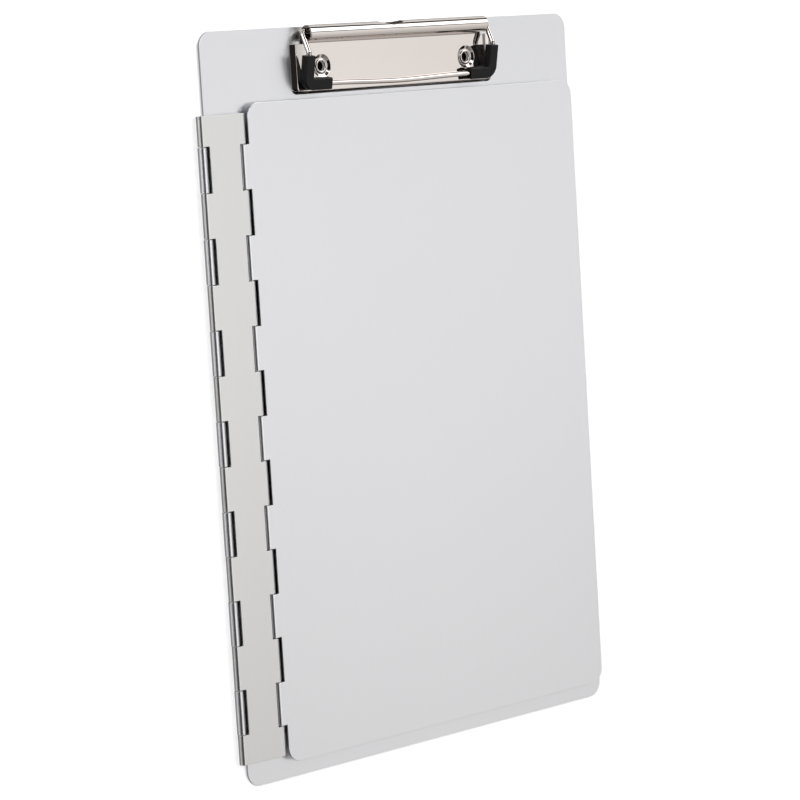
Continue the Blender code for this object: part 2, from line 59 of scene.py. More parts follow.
# Clip plate
CLIP_SHEET = 0.0008
FLOOR_Z = 0.0026
FOOT_Z = 0.0013
PLATE_CORNER = 0.0028
SIDE_CORNER = 0.0032
EDGE_WIDTH = 0.00135
SIDE_EDGE = 0.0021
EDGE_STRAIGHT = 0.75
EDGE_FLAT = 2.0 - EDGE_STRAIGHT
WING_START = 0.054
WING_RISE = 0.0008
PLATE_BACK_Y = 0.1620
PLATE_RIM = 0.00010
FOOT_ROWS = 3
BEND_ROWS = 10
TURN_STEPS = 16
WING_STEPS = 9
TUBE_RADIUS = 0.0037
TUBE_HALF_LENGTH = 0.0557
TUBE_Y = 0.1668
TUBE_Z = 0.0050
TUBE_SEAM_ANGLE = 212.0
TUBE_STEPS = 110
NECK_STEPS = 18
ROW_MARGIN = 0.0001
SLOT_X = -0.0042
SLOT_HALF_WIDTH = 0.0080
SLOT_HALF_HEIGHT = 0.0027
SLOT_RISE = 0.0006
SLOT_START_Y = 0.0010

# Eyelets in their sunk seats
EYELET_X = 0.0455
EYELET_Y = 0.1517
EYELET_BORE = 0.00215
EYELET_WALL = 0.00035
EYELET_FLANGE = 0.00335
EYELET_CROWN = 0.00048
EYELET_LIFT = 0.00003
EYELET_BEND = 0.00015
EYELET_FLARE = 0.0031
FLARE_RISE = 0.0007
FLARE_CREST = 0.0001
FLARE_LIP = 0.0004
FLARE_LIP_Z = 0.00005
FLARE_MOUTH = 0.0009
FLARE_DROP = 0.0008
FLANGE_STEPS = 16
FLARE_STEPS = 8
SEAT_RADIUS = 0.0055
SEAT_FOOT = 0.00375
SEAT_DEPTH = 0.00076
SEAT_HOLE = 0.0026
SEAT_BEND = 0.12
SEAT_STEPS = 20
BOARD_HOLE = 0.0028
FLARE_RECESS = 0.0035
FLARE_DEPTH = 0.00075
FLARE_CONE = 0.0004
ROUND_SIDES = 96

# Wire bail and caps
WIRE_RADIUS = 0.0012
LEG_INNER_X = 0.0135
ARM_X = 0.0578
BAR_Y = 0.1439
BAR_Z = 0.0056
BAR_BOW_Y = 0.0009
BAR_MIDDLE_Z = 0.0041
CREST_Y = 0.1580
CREST_Z = 0.0085
LEG_BEND = 0.0024
CREST_BEND = 0.0030
CORNER_BEND = 0.0030
BEND_STEPS = 24
BAR_STEPS = 72
WIRE_SIDES = 40
WIRE_EDGE = 0.0002
CAP_WIDTH = 0.0054
CAP_DEPTH = 0.0038
CAP_TOP_Y = 0.1567
CAP_END_X = 0.0439
CAP_BORE = 0.0014
CAP_ROUNDING = 0.0006
CAP_SIDES = 56
CAP_EDGE = 0.0003

# Shading of edges: the sharpest angle, in degrees, left alone, and the pull of large faces
SMOOTH_ANGLE = 40
FACE_WEIGHT = 80
EYELET_SHARP_ANGLE = 50

# Colours, each as the dark and the light end of its variation
BOARD_COLOURS = ((0.845, 0.850, 0.872), (0.895, 0.900, 0.925))
SPINE_COLOURS = ((0.745, 0.745, 0.740), (0.795, 0.795, 0.790))
STEEL_COLOURS = ((0.45, 0.45, 0.44), (0.62, 0.62, 0.61))
NICKEL_COLOURS = ((0.650, 0.604, 0.574), (0.675, 0.628, 0.598))
RUBBER_COLOURS = ((0.004, 0.004, 0.0045), (0.008, 0.008, 0.009))
SATIN_ROUGHNESS = 0.30

# Studio: brightness of the big card by degrees from straight up, first from the front (-Y) to
# the back (+Y), then from the left (-X) to the right (+X)
CARD_ALONG = (
    (-80, 0.12), (-30, 0.26), (-20, 0.55), (-12, 0.96), (-4, 1.11), (4, 1.15),
    (5, 0.28), (16.5, 0.28), (18, 3.0), (60, 3.0), (65, 0.08), (180, 0.08),
)
CARD_ACROSS = (
    (-90, 0.75), (-62, 0.70), (-60, 0.02), (-4, 0.02), (0, 1.20), (33, 1.20),
    (34, 0.25), (37, 0.25), (38, 1.04), (42, 1.0), (50, 0.81), (60, 0.70), (90, 0.64),
)
# A bar of light from the front to the top, for the rolled tube
CARD_BAR = (
    (-90, 0.86), (-60, 0.94), (-40, 1.0), (-20, 1.02), (-8, 1.1), (0, 1.15), (1, 0), (180, 0),
)
# Zones of the studio.  Each is a band of a direction's x or y, or of its angle from straight up
# to the right in degrees, as low, high and softness; each rise is a smooth step from low to high
BAR_X = (0.60, 0.75, 0.02)
FLAG_ANGLES = (66, 95, 2.0)
FLAG_Y = (-0.4, 0.4, 0.05)
FLAG_SHADE = 0.93
OVERHEAD_X = (-0.62, 0.35, 0.05)
OVERHEAD_RISE = (0.42, 0.52)
OVERHEAD_SHADE = 0.97
STRIP_ANGLES = (-92, -54, 2.0)
STRIP_Y = (0.30, 0.9, 0.12)
STRIP_LIGHT = 2.6
BACK_RISE = (0.50, 0.60)
HORIZON_RISE = (0.05, 0.13)
HORIZON_LIGHT = 0.05
WARMTH_RISE = (-0.6, 0.2)
WARM = (1.0, 0.972, 0.945)
WHITE = (1.0, 1.0, 1.0)

# Floor slab: its painted shade under the board, and where its reflected side turns from grey to
# white
FLOOR_WIDTH = 24.0
FLOOR_DEPTH = 0.002
FLOOR_TOP = -0.0003
FLOOR_COLOUR = 0.92
FLOOR_GLOW = 0.6
# Painted shade: the floor's top under the board is near black and unlit, as if in the board's
# shadow
PAINTED_SHADE_COLOUR = 0.01
PAINTED_SHADE_X = (-0.112, 0.112, 0.002)
PAINTED_SHADE_Y = (-0.165, 0.165, 0.002)
PAINTED_SHADE_Z = (-0.0016, -0.0010)
REFLECTED_GREY = 0.28
WHITE_BEHIND = (0.165, 0.19)
WHITE_BESIDE = (-0.124, -0.130)

# Camera: its place, and its right and up directions
CAMERA_PLACE = (-0.957355, 0.15640, 1.04703)
CAMERA_RIGHT = (0.7338, -0.0605, 0.6767)
CAMERA_UP = (0.1217, 0.9916, -0.0433)
CAMERA_LENS = 136.57


def link(tree, source, target):
    """Join two sockets."""
    tree.links.new(source, target)


def start_material(name):
    """A new material with its Principled shader and its object coordinates."""
    material = bpy.data.materials.new(name)
    material.use_nodes = True
    tree = material.node_tree
    shader = tree.nodes["Principled BSDF"]
    coordinates = tree.nodes.new("ShaderNodeTexCoord")
    return material, tree, shader, coordinates.outputs["Object"]


def stretched_noise(tree, coordinates, scale, detail=3.0, roughness=0.6):
    """Noise whose coordinates are scaled by a vector first, for grain that runs one way."""
    mapping = tree.nodes.new("ShaderNodeMapping")
    mapping.inputs["Scale"].default_value = scale
    link(tree, coordinates, mapping.inputs["Vector"])
    noise = tree.nodes.new("ShaderNodeTexNoise")
    noise.inputs["Scale"].default_value = 1.0
    noise.inputs["Detail"].default_value = detail
    noise.inputs["Roughness"].default_value = roughness
    link(tree, mapping.outputs["Vector"], noise.inputs["Vector"])
    return noise.outputs["Fac"]


def remap(tree, source, low, high):
    """Spread a 0 to 1 value over low to high."""
    node = tree.nodes.new("ShaderNodeMapRange")
    node.inputs["To Min"].default_value = low
    node.inputs["To Max"].default_value = high
    link(tree, source, node.inputs["Value"])
    return node.outputs["Result"]


def blend_colours(tree, factor, colours):
    """Mix two colours by a value, from the first at 0 to the second at 1."""
    node = tree.nodes.new("ShaderNodeMix")
    node.data_type = "RGBA"
    node.inputs["A"].default_value = (*colours[0], 1.0)
    node.inputs["B"].default_value = (*colours[1], 1.0)
    link(tree, factor, node.inputs["Factor"])
    return node.outputs["Result"]


def add_bump(tree, shader, height, strength, distance):
    """Bump from a height value."""
    bump = tree.nodes.new("ShaderNodeBump")
    bump.inputs["Strength"].default_value = strength
    bump.inputs["Distance"].default_value = distance
    link(tree, height, bump.inputs["Height"])
    link(tree, bump.outputs["Normal"], shader.inputs["Normal"])


def satin_aluminium(name, colours):
    """Matt anodised sheet: very fine grain along the clipboard and slow cloudy variation."""
    material, tree, shader, place = start_material(name)
    shader.inputs["Metallic"].default_value = 1.0
    grain = stretched_noise(tree, place, (2600.0, 45.0, 2600.0), detail=4.0, roughness=0.65)
    clouds = stretched_noise(tree, place, (9.0, 5.0, 9.0), detail=2.0, roughness=0.5)
    mixed = tree.nodes.new("ShaderNodeMath")
    mixed.operation = "MULTIPLY_ADD"
    mixed.inputs[1].default_value = 0.6
    link(tree, grain, mixed.inputs[0])
    link(tree, remap(tree, clouds, 0.0, 0.4), mixed.inputs[2])
    link(tree, blend_colours(tree, mixed.outputs[0], colours), shader.inputs["Base Color"])
    roughness = remap(tree, grain, SATIN_ROUGHNESS - 0.03, SATIN_ROUGHNESS + 0.03)
    link(tree, roughness, shader.inputs["Roughness"])
    add_bump(tree, shader, grain, 0.12, 0.00001)
    return material


def bright_nickel(name, roughness=0.035, waviness=0.05):
    """Polished nickel plate: warm mirror with faint polishing haze and a slightly wavy surface."""
    material, tree, shader, place = start_material(name)
    shader.inputs["Metallic"].default_value = 1.0
    haze = stretched_noise(tree, place, (60.0, 90.0, 60.0), detail=4.0)
    waves = stretched_noise(tree, place, (30.0, 60.0, 60.0), detail=1.0, roughness=0.4)
    link(tree, blend_colours(tree, haze, NICKEL_COLOURS), shader.inputs["Base Color"])
    link(tree, remap(tree, haze, roughness - 0.015, roughness + 0.02), shader.inputs["Roughness"])
    add_bump(tree, shader, waves, waviness, 0.0001)
    return material


def drawn_steel(name):
    """Hinge-pin wire: grey steel with drawing lines along it."""
    material, tree, shader, place = start_material(name)
    shader.inputs["Metallic"].default_value = 1.0
    lines = stretched_noise(tree, place, (4000.0, 60.0, 4000.0))
    link(tree, blend_colours(tree, lines, STEEL_COLOURS), shader.inputs["Base Color"])
    link(tree, remap(tree, lines, 0.22, 0.34), shader.inputs["Roughness"])
    add_bump(tree, shader, lines, 0.2, 0.00002)
    return material


def black_rubber(name):
    """Soft black rubber with a fine moulded texture and paler rubbed places."""
    material, tree, shader, place = start_material(name)
    texture = stretched_noise(tree, place, (2400.0, 2400.0, 2400.0))
    rubbed = stretched_noise(tree, place, (160.0, 160.0, 160.0), detail=2.0, roughness=0.5)
    link(tree, blend_colours(tree, rubbed, RUBBER_COLOURS), shader.inputs["Base Color"])
    shader.inputs["Specular IOR Level"].default_value = 0.35
    link(tree, remap(tree, texture, 0.42, 0.56), shader.inputs["Roughness"])
    add_bump(tree, shader, texture, 0.25, 0.00003)
    return material


def make_piece(name, builder, material):
    """Turn a bmesh in the model's frame into a smooth object with one material."""
    bmesh.ops.recalc_face_normals(builder, faces=builder.faces)
    mesh = bpy.data.meshes.new(name)
    builder.to_mesh(mesh)
    builder.free()
    mesh.shade_smooth()
    mesh.materials.append(material)
    piece = bpy.data.objects.new(name, mesh)
    bpy.context.scene.collection.objects.link(piece)
    return piece


def bevel_edges(piece, name, width, segments):
    """Round a piece's sharp edges a little."""
    bevel = piece.modifiers.new(name, "BEVEL")
    bevel.width = width
    bevel.segments = segments
    bevel.limit_method = "ANGLE"
    bevel.angle_limit = math.radians(SMOOTH_ANGLE)


def ease_edges(piece, width, segments=2):
    """Round a piece's sharp edges a little and keep its flat faces flat in reflections."""
    bevel_edges(piece, "EasedEdges", width, segments)
    steady_normals(piece)


def steady_normals(piece):
    """Let large faces decide the shading of small ones beside them."""
    normals = piece.modifiers.new("SteadyNormals", "WEIGHTED_NORMAL")
    normals.weight = FACE_WEIGHT
    normals.keep_sharp = True


def stand_for(piece, body, node):
    """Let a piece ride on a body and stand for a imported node."""
    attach(piece, body)
    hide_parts(node)
    return piece


def bridge_rings(builder, first, second):
    """Quads between two closed rings."""
    for index in range(len(first)):
        following = (index + 1) % len(first)
        builder.faces.new((first[index], first[following], second[following], second[index]))


def bridge_rows(builder, first, second):
    """Quads between two open rows."""
    for index in range(len(first) - 1):
        builder.faces.new((first[index], first[index + 1], second[index + 1], second[index]))


def circle_section(radius, sides):
    """Points of a circle."""
    angles = [2 * math.pi * step / sides for step in range(sides)]
    return [(radius * math.cos(angle), radius * math.sin(angle)) for angle in angles]


def arc_points(centre_x, centre_y, radius, start_degrees, steps):
    """Points of a quarter circle, anticlockwise."""
    points = []
    for step in range(steps + 1):
        angle = math.radians(start_degrees + 90.0 * step / steps)
        points.append((centre_x + radius * math.cos(angle), centre_y + radius * math.sin(angle)))
    return points


def level_ring(builder, radius, height, centre_x=0.0, centre_y=0.0):
    """A level circle of vertices."""
    section = circle_section(radius, ROUND_SIDES)
    return [builder.verts.new((centre_x + u, centre_y + v, height)) for u, v in section]


# Sheets with rolled hinge knuckles

def knuckle_spans(first):
    """The (low, high) Y spans of every other knuckle, from the bottom up."""
    total = 2 * END_KNUCKLE_LENGTH + (KNUCKLE_COUNT - 2) * KNUCKLE_LENGTH
    edges = [SPINE_TOP_Y - total]
    for index in range(KNUCKLE_COUNT):
        at_end = index in (0, KNUCKLE_COUNT - 1)
        edges.append(edges[-1] + (END_KNUCKLE_LENGTH if at_end else KNUCKLE_LENGTH))
    return [
        (edges[index] + KNUCKLE_GAP / 2, edges[index + 1] - KNUCKLE_GAP / 2)
        for index in range(first, KNUCKLE_COUNT, 2)
    ]


def tabs_down(spans, edge_x, axis_x):
    """Outline points down a left edge whose tabs reach the hinge axis, and which edges roll."""
    points = []
    rolled = []
    for low, high in reversed(spans):
        points.append((edge_x, high))
        rolled.append(len(points))
        points.append((axis_x, high))
        points.append((axis_x, low))
        points.append((edge_x, low))
    return points, rolled


def spine_side(spans, axis_x, notch_x, upward):
    """Outline points along one long side of the spine, and which edges roll."""
    points = []
    rolled = []
    for index, (low, high) in enumerate(spans):
        if index > 0:
            points.append((notch_x, low))
        rolled.append(len(points))
        points.append((axis_x, low))
        points.append((axis_x, high))
        if index < len(spans) - 1:
            points.append((notch_x, high))
    if upward:
        return points, rolled
    return points[::-1], [len(points) - 2 - index for index in rolled]


def add_roll(builder, low_pair, high_pair, axis, radii, start, direction, outer_is_low):
    """Roll a sheet's edge round a hinge axis, from one end of a knuckle to the other."""
    outer = [[vertex] for vertex in (low_pair if outer_is_low else high_pair)]
    inner = [[vertex] for vertex in (high_pair if outer_is_low else low_pair)]
    for step in range(1, ROLL_STEPS + 1):
        angle = math.radians(start + direction * ROLL_SWEEP * step / ROLL_STEPS)
        for chains, radius in ((inner, radii[0]), (outer, radii[1])):
            x = axis[0] + radius * math.cos(angle)
            z = axis[1] + radius * math.sin(angle)
            for end, chain in enumerate(chains):
                chain.append(builder.verts.new((x, low_pair[end].co.y, z)))
    bridge_rows(builder, outer[0], outer[1])
    bridge_rows(builder, inner[0], inner[1])
    bridge_rows(builder, outer[0], inner[0])
    bridge_rows(builder, outer[1], inner[1])
    builder.faces.new((outer[0][-1], inner[0][-1], inner[1][-1], outer[1][-1]))


def rolled_sheet(name, outline, rolls, low_z, high_z, material, place):
    """A flat sheet with rolled edges.  rolls maps an outline edge to the roll's arguments."""
    builder = bmesh.new()
    low = [builder.verts.new((x, y, low_z)) for x, y in outline]
    high = [builder.verts.new((x, y, high_z)) for x, y in outline]
    builder.faces.new(high)
    builder.faces.new(low[::-1])
    for index in range(len(outline)):
        following = (index + 1) % len(outline)
        if index in rolls:
            low_pair = (low[index], low[following])
            high_pair = (high[index], high[following])
            add_roll(builder, low_pair, high_pair, *rolls[index])
        else:
            builder.faces.new((low[index], low[following], high[following], high[index]))
    bmesh.ops.transform(builder, matrix=place, verts=builder.verts)
    return make_piece(name, builder, material)


def rounded_outline(left, right, bottom, top):
    """A rectangle with rounded corners, anticlockwise from its lower left corner."""
    inset = CORNER_RADIUS
    points = arc_points(left + inset, bottom + inset, inset, 180, CORNER_STEPS)
    points += arc_points(right - inset, bottom + inset, inset, 270, CORNER_STEPS)
    points += arc_points(right - inset, top - inset, inset, 0, CORNER_STEPS)
    points += arc_points(left + inset, top - inset, inset, 90, CORNER_STEPS)
    return points


def cut(piece, cutter):
    """Cut a helper out of a piece, and keep the helper out of the picture."""
    modifier = piece.modifiers.new("Cut", "BOOLEAN")
    modifier.operation = "DIFFERENCE"
    modifier.solver = "EXACT"
    modifier.object = cutter
    cutter.hide_render = True
    cutter.hide_viewport = True


def hole_cutter(name, x, material):
    """The shape of an eyelet's hole through the board, with a recess in the back for its flare."""
    builder = bmesh.new()
    profile = (
        (FLARE_RECESS, -FLARE_CONE), (FLARE_RECESS, FLARE_DEPTH - FLARE_CONE),
        (BOARD_HOLE, FLARE_DEPTH), (BOARD_HOLE, BOARD_SHEET + FLARE_CONE),
    )
    rings = [level_ring(builder, radius, height, x, EYELET_Y) for radius, height in profile]
    for lower, upper in zip(rings, rings[1:]):
        bridge_rings(builder, lower, upper)
    builder.faces.new(rings[0])
    builder.faces.new(rings[-1])
    return make_piece(name, builder, material)


def make_board(axis, right, clip_x, material):
    """The back board, its knuckles and the two eyelet holes."""
    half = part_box("back_board")[1].y
    left = axis.x + HINGE_SETBACK
    outline = rounded_outline(left, right, -half, half)
    side, rolled = tabs_down(knuckle_spans(1), left, axis.x)
    radii = (BORE_RADIUS, BORE_RADIUS + BOARD_SHEET)
    arguments = ((axis.x, axis.z), radii, -90, -1, True)
    rolls = {len(outline) + index: arguments for index in rolled}
    board = rolled_sheet("board_panel", outline + side, rolls, 0.0, BOARD_SHEET, material, Matrix())
    for number, x in enumerate((clip_x - EYELET_X, clip_x + EYELET_X)):
        cut(board, hole_cutter("board_hole_%d" % number, x, material))
    ease_edges(board, SHEET_EDGE)
    return stand_for(board, "board", "back_board")


def make_spine(outer_axis, inner_axis, material):
    """The strip between the hinges, with knuckles on both long sides."""
    rise = inner_axis.z - outer_axis.z
    run = inner_axis.x - outer_axis.x
    length = math.hypot(run, rise)
    spans = knuckle_spans(0)
    right, right_rolls = spine_side(spans, length, length - SPINE_INNER_NOTCH, True)
    left, left_rolls = spine_side(spans, 0.0, SPINE_OUTER_NOTCH, False)
    barrel = BORE_RADIUS + LEAF_SHEET
    radii = (BORE_RADIUS, barrel)
    rolls = {index: ((length, 0.0), radii, 90, -1, False) for index in right_rolls}
    for index in left_rolls:
        rolls[len(right) + index] = ((0.0, 0.0), radii, 90, 1, False)
    tilt = Matrix.Rotation(-math.atan2(rise, run), 4, "Y")
    place = Matrix.Translation((outer_axis.x, 0, outer_axis.z)) @ tilt
    spine = rolled_sheet("spine_panel", right + left, rolls, BORE_RADIUS, barrel, material, place)
    ease_edges(spine, SHEET_EDGE)
    return stand_for(spine, "spine", "spine_strip")


def make_cover(axis, material):
    """The front cover, with the inner hinge's knuckles on its left edge."""
    low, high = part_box("front_cover")
    outline = rounded_outline(COVER_NOTCH, high.x - axis.x, low.y, high.y)
    side, rolled = tabs_down(knuckle_spans(1), COVER_NOTCH, 0.0)
    barrel = BORE_RADIUS + LEAF_SHEET
    arguments = ((0.0, 0.0), (BORE_RADIUS, barrel), 90, 1, False)
    rolls = {len(outline) + index: arguments for index in rolled}
    place = Matrix.Translation((axis.x, 0, axis.z))
    cover = rolled_sheet("cover_panel", outline + side, rolls, BORE_RADIUS, barrel, material, place)
    ease_edges(cover, SHEET_EDGE)
    return stand_for(cover, "cover", "front_cover")


def make_pin(name, node, body, material):
    """A hinge pin with eased ends, in its packed place."""
    low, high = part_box(node)
    middle = (low + high) / 2
    builder = bmesh.new()
    bmesh.ops.create_cone(
        builder, cap_ends=True, segments=PIN_SIDES,
        radius1=PIN_RADIUS, radius2=PIN_RADIUS, depth=high.y - low.y,
    )
    turn = Matrix.Translation(middle) @ Matrix.Rotation(math.radians(90), 4, "X")
    bmesh.ops.transform(builder, matrix=turn, verts=builder.verts)
    pin = make_piece(name, builder, material)
    ease_edges(pin, PIN_EDGE, 3)
    return stand_for(pin, body, node)


# Clip plate: one sheet, pressed and rolled

def edge_slope(share):
    """Height of the turned-down edge, from 0 at its foot to 1 where the sheet is flat."""
    if share < EDGE_STRAIGHT:
        return share
    return 1.0 - max(0.0, EDGE_FLAT - share) ** 2


def wing_height(x, half):
    """How far the plate's ends curl up."""
    return WING_RISE * max(0.0, (abs(x) - WING_START) / (half - WING_START)) ** 2


def plate_ring(half, front, share):
    """Plan points round the plate's sides and front, a share of its turned-down edge in."""
    side = half - SIDE_EDGE * share
    turn_x = half - SIDE_CORNER
    turn_y = front + PLATE_CORNER
    radius_x = SIDE_CORNER - SIDE_EDGE * share
    radius_y = PLATE_CORNER - EDGE_WIDTH * share
    left_arc = arc_points(0, 0, 1, 180, TURN_STEPS)
    right_arc = arc_points(0, 0, 1, 270, TURN_STEPS)
    left_turn = [(u * radius_x - turn_x, v * radius_y + turn_y) for u, v in left_arc]
    right_turn = [(u * radius_x + turn_x, v * radius_y + turn_y) for u, v in right_arc]
    wing = [WING_START + (turn_x - WING_START) * step / WING_STEPS for step in range(WING_STEPS)]
    wing = sorted(wing + [TUBE_HALF_LENGTH])
    front_y = front + EDGE_WIDTH * share
    points = [(-side, PLATE_BACK_Y)] + left_turn
    points += [(-x, front_y) for x in reversed(wing)]
    points += [(x, front_y) for x in wing]
    return points + right_turn + [(side, PLATE_BACK_Y)]


def plate_edge_rows(builder, half, front):
    """The turned-down edge, as rows from its foot in to the flat floor."""
    shares = [EDGE_STRAIGHT * step / FOOT_ROWS for step in range(FOOT_ROWS)]
    bend = EDGE_FLAT - EDGE_STRAIGHT
    shares += [EDGE_STRAIGHT + bend * step / BEND_ROWS for step in range(BEND_ROWS + 1)]
    rows = []
    for share in shares:
        row = []
        for x, y in plate_ring(half, front, share):
            crown = FLOOR_Z + wing_height(x, half) - FOOT_Z
            row.append(builder.verts.new((x, y, FOOT_Z + crown * edge_slope(share))))
        rows.append(row)
    for outer, inner in zip(rows, rows[1:]):
        bridge_rows(builder, outer, inner)
    return rows[-1]


def seat_rings(builder, x):
    """The sunk seat of one eyelet: a short round bend, a cone, another bend and a flat foot."""
    rings = []
    for step in range(SEAT_STEPS + 1):
        share = step / SEAT_STEPS
        if share < SEAT_BEND:
            drop = share * share / (2 * SEAT_BEND)
        elif share > 1 - SEAT_BEND:
            drop = 1 - SEAT_BEND - (1 - share) ** 2 / (2 * SEAT_BEND)
        else:
            drop = share - SEAT_BEND / 2
        radius = SEAT_RADIUS + (SEAT_FOOT - SEAT_RADIUS) * share
        height = FLOOR_Z - SEAT_DEPTH * drop / (1 - SEAT_BEND)
        rings.append(level_ring(builder, radius, height, x, EYELET_Y))
    rings.append(level_ring(builder, SEAT_HOLE, FLOOR_Z - SEAT_DEPTH, x, EYELET_Y))
    for outer, inner in zip(rings, rings[1:]):
        bridge_rings(builder, outer, inner)
    return rings[0]


def closed_edges(builder, ring):
    """The edges round a closed ring of vertices."""
    edges = []
    for first, second in zip(ring, ring[1:] + ring[:1]):
        edges.append(builder.edges.get((first, second)) or builder.edges.new((first, second)))
    return edges


def plate_floor(builder, half, inner_row):
    """The floor and the wings behind the turned-down edge.  Returns the back edge's vertices."""
    fronts = inner_row[1:-1]
    backs = [inner_row[0]]
    for vertex in fronts[1:-1]:
        height = FLOOR_Z + wing_height(vertex.co.x, half)
        backs.append(builder.verts.new((vertex.co.x, PLATE_BACK_Y, height)))
    backs.append(inner_row[-1])
    for index in range(len(fronts) - 1):
        loop = [fronts[index], fronts[index + 1], backs[index + 1], backs[index]]
        spans_middle = fronts[index].co.x < 0 < fronts[index + 1].co.x
        if spans_middle:
            edges = closed_edges(builder, loop)
            for x in (-EYELET_X, EYELET_X):
                edges += closed_edges(builder, seat_rings(builder, x))
            bmesh.ops.triangle_fill(builder, edges=edges, use_beauty=True)
        else:
            builder.faces.new(loop)
    return backs


def tube_path():
    """(y, z) points of the rolled strip's upper side, from the floor's back edge to the seam."""
    bore = TUBE_RADIUS - CLIP_SHEET
    foot = TUBE_Z - bore
    points = []
    for step in range(1, NECK_STEPS):
        share = step / NECK_STEPS
        ease = share * share * (3 - 2 * share)
        y = PLATE_BACK_Y + (TUBE_Y - PLATE_BACK_Y) * share
        points.append((y, FLOOR_Z + (foot - FLOOR_Z) * ease))
    for step in range(TUBE_STEPS + 1):
        angle = math.radians(-90 + (TUBE_SEAM_ANGLE + 90) * step / TUBE_STEPS)
        points.append((TUBE_Y + bore * math.cos(angle), TUBE_Z + bore * math.sin(angle)))
    return points


def slot_cutter(name, clip_x, material):
    """An oval bar that opens the tube's back wall, left of its middle and above its axis."""
    builder = bmesh.new()
    ends = []
    middle = clip_x + SLOT_X
    height = TUBE_Z + SLOT_RISE
    for y in (TUBE_Y + SLOT_START_Y, TUBE_Y + 2 * TUBE_RADIUS):
        ends.append([
            builder.verts.new((middle + SLOT_HALF_WIDTH * u, y, height + SLOT_HALF_HEIGHT * v))
            for u, v in circle_section(1.0, ROUND_SIDES)
        ])
    bridge_rings(builder, ends[0], ends[1])
    builder.faces.new(ends[0])
    builder.faces.new(ends[1])
    return make_piece(name, builder, material)


def make_clip_plate(clip_x, material):
    """Floor, wings, turned-down edge, sunk seats and rolled tube, thickened from one surface."""
    low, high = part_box("clip_base_plate")
    half = (high.x - low.x) / 2
    builder = bmesh.new()
    inner_row = plate_edge_rows(builder, half, low.y)
    backs = plate_floor(builder, half, inner_row)
    row = [vertex for vertex in backs if abs(vertex.co.x) < TUBE_HALF_LENGTH + ROW_MARGIN]
    for y, z in tube_path():
        following = [builder.verts.new((vertex.co.x, y, z)) for vertex in row]
        bridge_rows(builder, row, following)
        row = following
    move = Matrix.Translation((clip_x, 0, 0))
    bmesh.ops.transform(builder, matrix=move, verts=builder.verts)
    plate = make_piece("clip_plate", builder, material)
    if sum(face.normal.z * face.area for face in plate.data.polygons) < 0:
        plate.data.flip_normals()
    thickness = plate.modifiers.new("Sheet", "SOLIDIFY")
    thickness.thickness = CLIP_SHEET
    thickness.offset = -1
    thickness.use_even_offset = True
    bevel_edges(plate, "EasedRim", PLATE_RIM, 2)
    cut(plate, slot_cutter("slot_shape", clip_x, material))
    steady_normals(plate)
    return stand_for(plate, "board", "clip_base_plate")


def eyelet_profile():
    """(radius, height) points round the eyelet's wall: flange, outside, flare and bore."""
    seat = FLOOR_Z - SEAT_DEPTH + EYELET_LIFT
    middle = (EYELET_BORE + EYELET_FLANGE) / 2
    half = (EYELET_FLANGE - EYELET_BORE) / 2
    outside = EYELET_BORE + EYELET_WALL
    lip = EYELET_FLARE - FLARE_LIP
    profile = []
    for step in range(FLANGE_STEPS + 1):
        angle = math.pi * (1 - step / FLANGE_STEPS)
        height = seat + EYELET_CROWN * math.sin(angle)
        profile.append((middle + half * math.cos(angle), height))
    profile += [(outside + EYELET_BEND, seat), (outside, seat - EYELET_BEND)]
    profile.append((outside, BOARD_SHEET))
    for step in range(1, FLARE_STEPS + 1):
        share = step / FLARE_STEPS
        radius = outside + (EYELET_FLARE - outside) * share * share
        profile.append((radius, BOARD_SHEET - FLARE_RISE * share))
    profile += [(EYELET_FLARE - FLARE_CREST, FLARE_CREST), (lip, FLARE_LIP_Z)]
    for step in range(1, FLARE_STEPS + 1):
        share = 1 - step / FLARE_STEPS
        radius = EYELET_BORE + (lip - EYELET_BORE) * share * share
        profile.append((radius, FLARE_MOUTH - FLARE_DROP * share))
    return profile


def make_eyelet(name, x, node, material):
    """A hollow eyelet: rolled flange in the seat, straight barrel, flare in the board's back."""
    builder = bmesh.new()
    profile = eyelet_profile()
    rings = [level_ring(builder, radius, height, x, EYELET_Y) for radius, height in profile]
    for first, second in zip(rings, rings[1:] + rings[:1]):
        bridge_rings(builder, first, second)
    eyelet = make_piece(name, builder, material)
    eyelet.data.set_sharp_from_angle(angle=math.radians(EYELET_SHARP_ANGLE))
    return stand_for(eyelet, "board", node)


# Wire bail and its caps

def fillet(points, corner, radius, steps):
    """Replace one corner of a path by an arc of the given radius."""
    before, at, after = (Vector(points[corner + shift]) for shift in (-1, 0, 1))
    inward = (before - at).normalized()
    outward = (after - at).normalized()
    half = inward.angle(outward) / 2
    reach = radius / math.tan(half)
    centre = at + (inward + outward).normalized() * (radius / math.sin(half))
    first = at + inward * reach - centre
    last = at + outward * reach - centre
    turn = first.angle(last)
    arc = []
    for step in range(steps + 1):
        share = step / steps
        blend = first * math.sin((1 - share) * turn) + last * math.sin(share * turn)
        arc.append(tuple(centre + blend / math.sin(turn)))
    return points[:corner] + arc + points[corner + 1:]


def bar_point(x):
    """The bar bows down and forwards to meet the plate at the middle of the clip."""
    share = min(1.0, abs(x) / CAP_END_X)
    ease = share * share * (3 - 2 * share)
    return (x, BAR_Y - BAR_BOW_Y * (1 - ease), BAR_MIDDLE_Z + (BAR_Z - BAR_MIDDLE_Z) * ease)


def side_path(side, leg):
    """Centre line of one half of the bail, from the leg's inner end to the start of the bar."""
    points = [
        (side * LEG_INNER_X, leg.y, leg.z), (side * ARM_X, leg.y, leg.z),
        (side * ARM_X, CREST_Y, CREST_Z), (side * ARM_X, BAR_Y, BAR_Z),
        (side * CAP_END_X, BAR_Y, BAR_Z),
    ]
    points = fillet(points, 3, CORNER_BEND, BEND_STEPS)
    points = fillet(points, 2, CREST_BEND, BEND_STEPS)
    return fillet(points, 1, LEG_BEND, BEND_STEPS)


